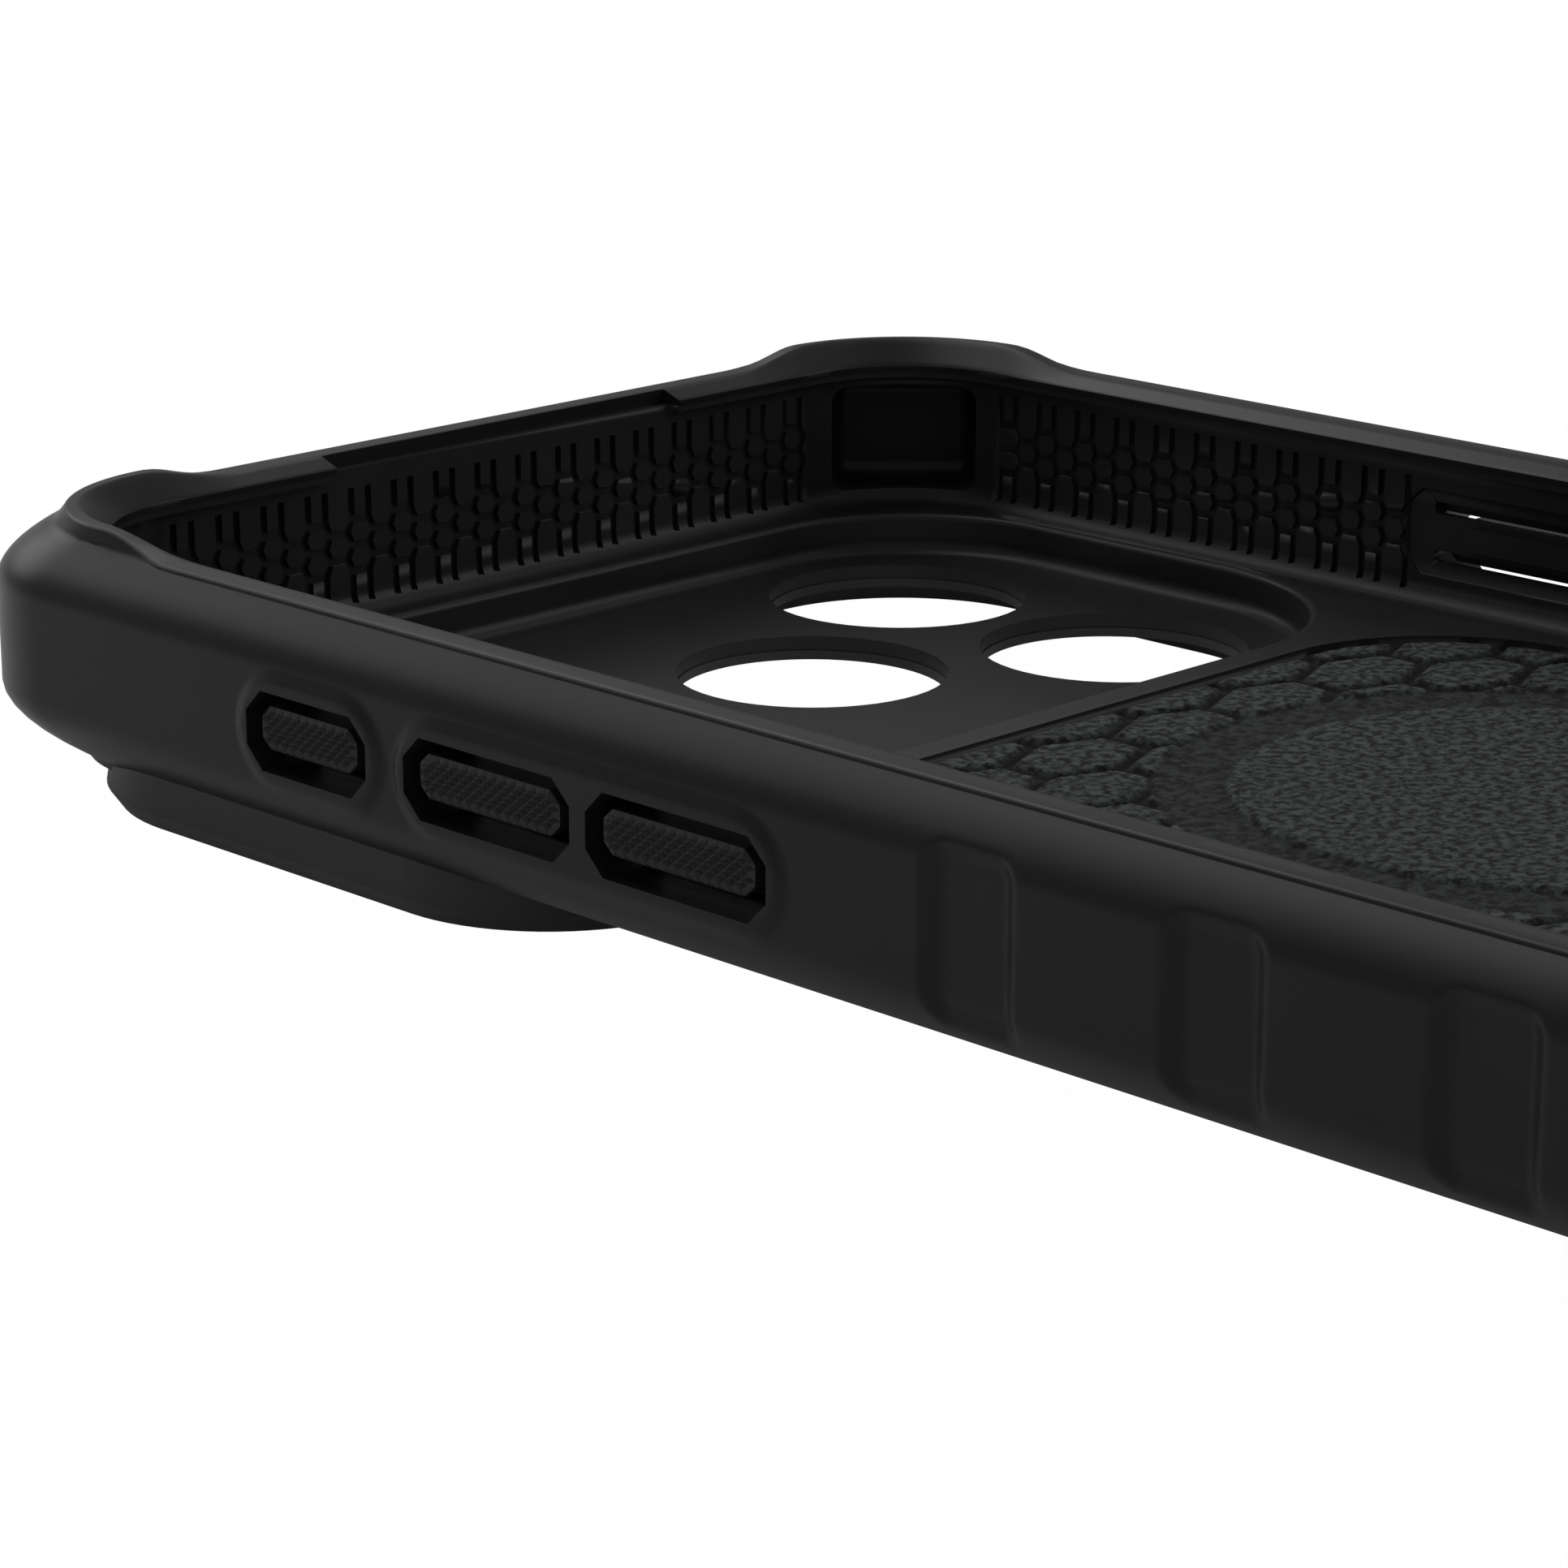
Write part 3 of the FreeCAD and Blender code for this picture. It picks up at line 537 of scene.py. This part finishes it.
def capped_loft(name, rings):
    """A solid through rings that have the same number of points, closed by its first and last."""
    numbers = np.arange(rings.shape[0] * rings.shape[1]).reshape(rings.shape[:2])
    sides = grid_faces(np.pad(numbers, ((0, 0), (0, 1)), mode="wrap")).tolist()
    piece = surface(name, rings.reshape(-1, 3), [numbers[0], numbers[-1][::-1]] + sides, smooth=False)
    face_outward(piece)
    return piece


def along_x(shape, x):
    """A ring: a flat shape of (y, z) points set up at a place along X."""
    return np.column_stack([np.full(len(shape), x), shape])


def octagon(y_mid, z_mid, length, height, chamfer):
    """An octagon: a rectangle with each corner cut off at 45 degrees."""
    a, b, c = length / 2, height / 2, chamfer
    quarter = np.array([(a, b - c), (a - c, b)])
    half = np.concatenate([quarter, quarter[::-1] * (-1, 1)])
    return np.concatenate([half, -half]) + (y_mid, z_mid)


def rounded(y_mid, z_mid, length, height, radius):
    """A rectangle with an arc of a radius at each corner."""
    turns = np.radians(np.concatenate([np.linspace(start, start + 90, 9) for start in (0, 90, 180, 270)]))
    arc = radius * np.column_stack([np.cos(turns), np.sin(turns)])
    middles = np.repeat([(1, 1), (-1, 1), (-1, -1), (1, -1)], 9, axis=0)
    return middles * (length / 2 - radius, height / 2 - radius) + arc + (y_mid, z_mid)


def through_x(name, shape, x0, x1):
    """A prism along X over a flat shape."""
    return capped_loft(name, np.array([along_x(shape, x0), along_x(shape, x1)]))


def corner_pocket(sx, sy):
    """The hollow behind a corner window: a round-cornered block, filleted at its far end."""
    rings = [(POCKET_R - 1.4, 0.0)]
    for turn in np.radians(np.arange(0.0, 91.0, 15.0)):
        rings.append((POCKET_R + 2.0 + WINDOW_FILLET * math.sin(turn), WINDOW_FILLET * (1.0 - math.cos(turn))))
    block = capped_loft("corner_pocket", np.array([
        along_x(rounded(0, WINDOW_Z, WINDOW_WIDTH - 2 * pull, WINDOW_HEIGHT - 2 * pull, max(WINDOW_R - pull, 0.05)), x)
        for x, pull in rings
    ]))
    turn = Matrix.Rotation(math.atan2(sy, sx), 4, "Z")
    place = Matrix.Translation(Vector((sx * (HALF_X - POCKET_R), sy * (HALF_Y - POCKET_R), 0)) * MM)
    block.data.transform(place @ turn)
    return block


tools = []
for side, y_mid, length in BUTTONS.values():
    shape = octagon(y_mid, Z_OPENING, length + OPENING_ROOM, OPENING_HEIGHT, OPENING_CHAMFER)
    tools.append(through_x("opening", shape, side * (HALF_X - 3.0), side * (HALF_X + 8.0)))
port_z = (Z_FLOOR + Z_LIP_UNDER) / 2 - 0.4
for x_mid, width, height in PORTS:
    port = through_x("port", rounded(0, port_z, width, height, height / 2 - 0.05), -1.0, 9.0)
    to_end = Matrix.Translation(Vector((x_mid, -HALF_Y, 0)) * MM) @ Matrix.Rotation(-math.pi / 2, 4, "Z")
    port.data.transform(to_end)
    tools.append(port)
shape = rounded(CONTROL_Y, port_z, CONTROL_LENGTH, CONTROL_HEIGHT, CONTROL_HEIGHT / 2 - 0.05)
tools.append(through_x("control", shape, HALF_X - 1.0, HALF_X + 8.0))
for sx, sy in ((1, 1), (-1, 1), (-1, -1), (1, -1)):
    tools.append(corner_pocket(sx, sy))
notch = np.array([(HALF_Y - 2.0, 13.7), (HALF_Y + 0.7, 13.7), (HALF_Y + 0.7, 20.0), (HALF_Y - 2.0, 20.0)])
tools.append(through_x("lip_notch", notch, -NOTCH_HALF, NOTCH_HALF))

bumper = cut(closed_tube("bumper_blank", bumper_rows()), tools, "bumper", sharp=32.0)
even_normals(bumper)
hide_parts("outer_frame")
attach(bumper, "case")

# Firmer TPU than the liner's, from a fine eroded tool: a soft satin black.
bumper_tpu = moulded("bumper_tpu", "#161616", "#181818", 0.37, 0.18, grain=0.1923, relief=0.12)
dress(bumper, bumper_tpu)
dress(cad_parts["outer_frame"], bumper_tpu)


# ---- Button caps
# Hard black caps, one in each opening, moulded with a diamond knurl on their faces. Each is an
# octagonal block whose stem goes through the liner's strip to the presser inside.

Z_BUTTON = 9.2
CAP_HEIGHT, CAP_CHAMFER, CAP_REAR = 2.4, 0.65, 1.55
KNURL_ALONG, KNURL_UP, KNURL_PEAK = 0.36, 0.305, 0.22


def octagon_inside(u, v, length, height, chamfer):
    """Distance inside an octagon: the least of those to its sides, ends and cut corners."""
    a = length / 2 - np.abs(u)
    b = height / 2 - np.abs(v)
    return np.minimum(np.minimum(a, b), (a + b - chamfer) / math.sqrt(2.0))


def knurled_cap(name, side, y_mid, length):
    """A block whose face is a grid with every second point raised, drawn in to the octagon."""
    low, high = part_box(name + "_cap")
    base = (high[0] if side > 0 else -low[0]) / MM - 0.3
    columns, rows_up = int(round(length / KNURL_ALONG)), int(round(CAP_HEIGHT / KNURL_UP))
    i, j = np.meshgrid(np.arange(columns + 1), np.arange(rows_up + 1), indexing="ij")
    u = -length / 2 + i * length / columns
    v = -CAP_HEIGHT / 2 + j * CAP_HEIGHT / rows_up
    inside = octagon_inside(u, v, length, CAP_HEIGHT, CAP_CHAMFER)
    kept = inside >= -0.13
    pull = np.maximum(-inside, 0.0) / math.sqrt(2.0)
    odd = (i + j) % 2 == 1
    peak = np.where(odd & (inside > 0.2), KNURL_PEAK, 0.0)
    spots = np.stack([
        side * (base + peak), y_mid + u - np.copysign(pull, u), Z_BUTTON + v - np.copysign(pull, v),
    ], axis=-1)
    numbers = np.where(kept, np.cumsum(kept).reshape(kept.shape) - 1, -1)
    cells = grid_faces(numbers)[:, [0, 3, 2, 1]]
    whole = (cells >= 0).all(axis=1)
    odd_cell = odd[:-1, :-1].ravel()
    faces = [cells[whole & odd_cell][:, pick] for pick in ([0, 1, 2], [0, 2, 3])]
    faces += [cells[whole & ~odd_cell][:, pick] for pick in ([0, 1, 3], [1, 2, 3])]
    lone = (cells >= 0).sum(axis=1) == 3
    faces += [np.delete(cells[lone & (cells[:, gone] < 0)], gone, axis=1) for gone in range(4)]
    cap = surface(name + "_knurl", spots[kept], np.concatenate(faces), smooth=False)
    work = bmesh.new()
    work.from_mesh(cap.data)
    rim = [edge for edge in work.edges if len(edge.link_faces) == 1]
    grown = bmesh.ops.extrude_edge_only(work, edges=rim)["geom"]
    for vert in (part for part in grown if isinstance(part, bmesh.types.BMVert)):
        vert.co.x = (HALF_X + CAP_REAR) * side * MM
    ring = [part for part in grown if isinstance(part, bmesh.types.BMEdge) and len(part.link_faces) == 1]
    bmesh.ops.contextual_create(work, geom=ring)
    bmesh.ops.recalc_face_normals(work, faces=work.faces)
    work.to_mesh(cap.data)
    work.free()
    return cap


# Glass-smooth hard plastic in the knurl's small faces: black, with the clearest glints here.
button_plastic = moulded("button_plastic", "#1e1e1e", "#222222", 0.36, 0.28, grain=0.1667, relief=0.1)
for name, (side, y_mid, length) in BUTTONS.items():
    cap = knurled_cap(name, side, y_mid, length)
    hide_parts(name + "_cap")
    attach(cap, name)
    dress(cap, button_plastic)
    dress(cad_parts[name + "_cap"], button_plastic)


# ---- Lining
# A pad of microfibre suede, hot embossed and laid on a sheet of adhesive in the liner's floor.
# The emboss leaves a bare round disc in a pressed ring, and plain bevelled tiles all round it.

LINING_X, LINING_LOW, LINING_HIGH, LINING_R = 32.85, -70.85, 28.25, 11.85
LINING_TOP, LINING_UNDER = 5.32, 4.76
DISC_X, DISC_Y, DISC_IN, DISC_OUT = 8.2, 1.0, 17.0, 21.1
TILE_X, TILE_Y, TILE_SQUASH = 8.4, 4.7, 0.66
JOINT_HALF, JOINT_SLOPE, TILE_DOME = 0.14, 0.34, 2.6
PRESS_DEPTH, JOINT_DEPTH, HEM_ROLL = 0.26, 0.14, 0.14
# Darkening shares of the ring's melted pile and of the hem; the joints take their own share, which adds painted shade
# in the grooves.
RING_TONE, HEM_TONE = 0.55, 0.6


def lining_inside(x, y):
    """Distance inside the lining's outline, a rectangle with round corners."""
    a = np.abs(x) - (LINING_X - LINING_R)
    b = np.abs(y - (LINING_LOW + LINING_HIGH) / 2) - ((LINING_HIGH - LINING_LOW) / 2 - LINING_R)
    return LINING_R - np.hypot(np.maximum(a, 0), np.maximum(b, 0)) - np.minimum(np.maximum(a, b), 0)


def joint_distance(x, y):
    """Distance to the nearest joint between tiles, whose middles lie in staggered rows.

    It is half of how much nearer the nearest middle is than the next one, with X squashed.
    """
    best = np.full_like(x, 1e9)
    second = np.full_like(x, 1e9)
    row = np.round(y / TILE_Y)
    for row_step in (-1, 0, 1):
        r = row + row_step
        shift = np.mod(r, 2) * TILE_X / 2
        column = np.round((x - shift) / TILE_X)
        for column_step in (-1, 0, 1):
            away = np.hypot((x - (column + column_step) * TILE_X - shift) * TILE_SQUASH, y - r * TILE_Y)
            nearer = away < best
            second = np.where(nearer, best, np.minimum(second, away))
            best = np.where(nearer, away, best)
    return (second - best) / 2


def emboss(x, y):
    """How far the emboss presses the pile at a place, and its ring's and its joints' shares of that."""
    joint = joint_distance(x, y)
    radius = np.hypot(x - DISC_X, y - DISC_Y)
    in_disc = ease((DISC_OUT - radius) / 0.3 + 0.5)
    ring = ease((radius - DISC_IN) / 0.3 + 0.5) * in_disc
    joints = (1.0 - ease((joint - JOINT_HALF) / JOINT_SLOPE))
    domes = 0.2 * (1.0 - ease(joint / TILE_DOME))
    return np.maximum(joints, domes) * (1 - in_disc) + ring, ring, joints * (1 - in_disc)


def lining_surface():
    """Points, faces and tone of the lining: a grid as wide as the outline at each place along it.

    The emboss and the rolled edge set its heights, and a hem goes down to the adhesive.
    """
    xs = np.linspace(-LINING_X, LINING_X, 266)
    ys = np.concatenate([np.linspace(LINING_LOW, -26.0, 96)[:-1], np.linspace(-26.0, LINING_HIGH, 250)])
    across, y = np.meshgrid(xs, ys, indexing="ij")
    middle, half = (LINING_LOW + LINING_HIGH) / 2, (LINING_HIGH - LINING_LOW) / 2
    into_corner = np.clip(np.abs(y - middle) - (half - LINING_R), 0, LINING_R)
    wide = LINING_X - LINING_R + np.maximum(np.sqrt(LINING_R ** 2 - into_corner ** 2), 0.3)
    x = across * wide / LINING_X
    pressed, ring, joints = emboss(x, y)
    rolled = 1.0 - ease(np.minimum(lining_inside(x, y), 0.6) / 0.5)
    z = LINING_TOP - PRESS_DEPTH * pressed - JOINT_DEPTH * joints - HEM_ROLL * rolled
    top = np.stack([x, y, z], axis=-1)
    numbers = np.arange(z.size).reshape(z.shape)
    quads = grid_faces(numbers)[:, [0, 3, 2, 1]]
    rim = np.concatenate([numbers[:, 0], numbers[-1, 1:], numbers[-2::-1, -1], numbers[0, -2:0:-1]])
    hem = top.reshape(-1, 3)[rim]
    hem[:, 2] = LINING_UNDER
    low = np.arange(len(rim)) + z.size
    skirt = np.column_stack([np.roll(rim, -1), rim, low, np.roll(low, -1)])
    # Darkening share: the ring's melted pile, the joints' melted pile with painted shade in the grooves, and the hem.
    tone = np.where(ring > 0.5, RING_TONE, joints)
    tone = np.concatenate([tone.ravel(), np.full(len(rim), HEM_TONE)])
    return np.concatenate([top.reshape(-1, 3), hem]), np.concatenate([quads, skirt]), tone


# Suede of fine nylon fibres, brushed: short grey pile that lies every way, so that it is
# mottled in patches of about 0.6 mm. It is darker in the ring, where the emboss melts it down,
# and nearly black in the joints between tiles, where melted pile is deepened by painted shade
# in the grooves. The hem is darkened too.
PILE_SIZE = 0.588
PILE_DARK, PILE_LIGHT = "#060707", "#434846"
# Tint multiplied in by the darkening share: melted pile, and painted shade in the joints' grooves.
MELT_AND_SHADE_TINT = (0.02, 0.02, 0.02, 1.0)
microfibre, tree, shader = new_material("microfibre_suede", {
    "Roughness": 0.95, "Specular IOR Level": 0.1, "Sheen Weight": 0.04, "Sheen Roughness": 0.6,
})
pile = add_node(
    tree, "ShaderNodeTexNoise", values={"Scale": 1.0 / (PILE_SIZE * MM), "Detail": 5.0, "Roughness": 0.62},
    links={"Vector": add_node(tree, "ShaderNodeTexCoord").outputs["Object"]},
)
mottle = ramp_between(tree, pile.outputs["Fac"], (0.41, PILE_DARK), (0.6, PILE_LIGHT))
# The "pressed" attribute darkens the pile: melted pile in the ring, painted shade in the joints' grooves on top of
# their melted pile, and a darker hem.
melt_and_painted_shade = add_node(tree, "ShaderNodeAttribute", {"attribute_name": "pressed"})
darker = add_node(
    tree, "ShaderNodeMix", {"data_type": "RGBA", "blend_type": "MULTIPLY"}, {"B": MELT_AND_SHADE_TINT},
    {"Factor": melt_and_painted_shade.outputs["Fac"], "A": mottle.outputs["Color"]},
)
bump = add_node(
    tree, "ShaderNodeBump", values={"Strength": 0.35, "Distance": 0.12 * MM}, links={"Height": pile.outputs["Fac"]},
)
tree.links.new(darker.outputs["Result"], shader.inputs["Base Color"])
tree.links.new(bump.outputs["Normal"], shader.inputs["Normal"])

verts, faces, tone = lining_surface()
lining = surface("lining", verts, faces, sharp=60.0)
pressed = lining.data.attributes.new("pressed", "FLOAT", "POINT")
pressed.data.foreach_set("value", tone.astype(np.float32))
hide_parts("lining_pad")
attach(lining, "case")
dress(lining, microfibre)
dress(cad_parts["lining_pad"], microfibre)
dress(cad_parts["lining_adhesive"], tape)


# ---- Camera
# It looks at 45 degrees between the two walls and 16.5 degrees down, from about 0.24 m: all
# of it solved from the case's straight edges in the photograph.

tilt = math.radians(16.51)
forward = Vector((math.cos(tilt) * math.sqrt(0.5), math.cos(tilt) * math.sqrt(0.5), -math.sin(tilt)))
right = Vector((math.sqrt(0.5), -math.sqrt(0.5), 0.0))
upward = right.cross(forward)
lens = bpy.data.cameras.new("camera")
lens.lens = 103.96
lens.sensor_width = 36.0
lens.clip_start = 0.01
lens.clip_end = 20.0
camera = bpy.data.objects.new("camera", lens)
spin = Matrix((right, upward, -forward)).transposed().to_4x4()
camera.matrix_world = Matrix.Translation(Vector((-184.49, -134.02, 74.4)) * MM) @ spin
bpy.context.scene.collection.objects.link(camera)
bpy.context.scene.camera = camera


# ---- Studio
# A white floor without an edge, dim white walls and six soft lamps, most of them behind the
# case. The camera sees floor and walls as white, and they add little light to the object.

floor = surface("floor", [(-3000, -3000, 0), (3000, -3000, 0), (3000, 3000, 0), (-3000, 3000, 0)], [(0, 1, 2, 3)])
white, tree, shader = new_material("floor_white", {
    "Base Color": (0.8, 0.8, 0.8, 1.0), "Roughness": 0.9,
    "Emission Color": (1, 1, 1, 1), "Emission Strength": 0.1,
})
glow = add_node(tree, "ShaderNodeEmission", values={"Color": (1, 1, 1, 1), "Strength": 1.0})
seen = add_node(tree, "ShaderNodeLightPath").outputs["Is Camera Ray"]
mostly = add_node(tree, "ShaderNodeMath", {"operation": "MULTIPLY"}, {1: 0.99}, {0: seen})
mix = add_node(tree, "ShaderNodeMixShader", links={
    "Fac": mostly.outputs[0], 1: shader.outputs[0], 2: glow.outputs[0],
})
tree.links.new(mix.outputs[0], tree.nodes["Material Output"].inputs["Surface"])
dress(floor, white)

world = bpy.data.worlds.new("studio")
bpy.context.scene.world = world
world.use_nodes = True
tree = world.node_tree
dim = tree.nodes["Background"]
dim.inputs["Color"].default_value = (0.8, 0.8, 0.8, 1.0)
dim.inputs["Strength"].default_value = 0.4
bright = add_node(tree, "ShaderNodeBackground", values={"Color": (1, 1, 1, 1), "Strength": 1.0})
path = add_node(tree, "ShaderNodeLightPath").outputs
seen = add_node(tree, "ShaderNodeMath", {"operation": "MAXIMUM"}, links={
    0: path["Is Camera Ray"], 1: path["Is Transmission Ray"],
})
mix = add_node(tree, "ShaderNodeMixShader", links={
    "Fac": seen.outputs[0], 1: dim.outputs[0], 2: bright.outputs[0],
})
tree.links.new(mix.outputs[0], tree.nodes["World Output"].inputs["Surface"])


def softbox(name, azimuth, elevation, size, watts):
    """Rectangular lamp 1 m from the case, at an azimuth from +X and an elevation in degrees."""
    lamp = bpy.data.lights.new(name, "AREA")
    lamp.shape = "RECTANGLE"
    lamp.size, lamp.size_y = size
    lamp.energy = watts
    aim = Vector((0, 0.02, 0))
    turn, lift = math.radians(azimuth), math.radians(elevation)
    holder = bpy.data.objects.new(name, lamp)
    holder.location = aim + Vector((math.cos(turn) * math.cos(lift), math.sin(turn) * math.cos(lift), math.sin(lift)))
    holder.rotation_euler = (aim - holder.location).to_track_quat("-Z", "Y").to_euler()
    bpy.context.scene.collection.objects.link(holder)


softbox("behind", 110, 42, (0.4, 0.4), 0.555)
softbox("behind_right", 63, 40, (0.4, 0.4), 0.96)
softbox("behind_low", 90, 22, (0.5, 0.3), 0.93)
softbox("right_high", 0, 60, (0.5, 0.5), 0.375)
softbox("right_front", 315, 30, (0.5, 0.5), 1.23)
softbox("top", 90, 65, (0.5, 0.5), 1.95)

bpy.context.scene.view_settings.view_transform = "Standard"
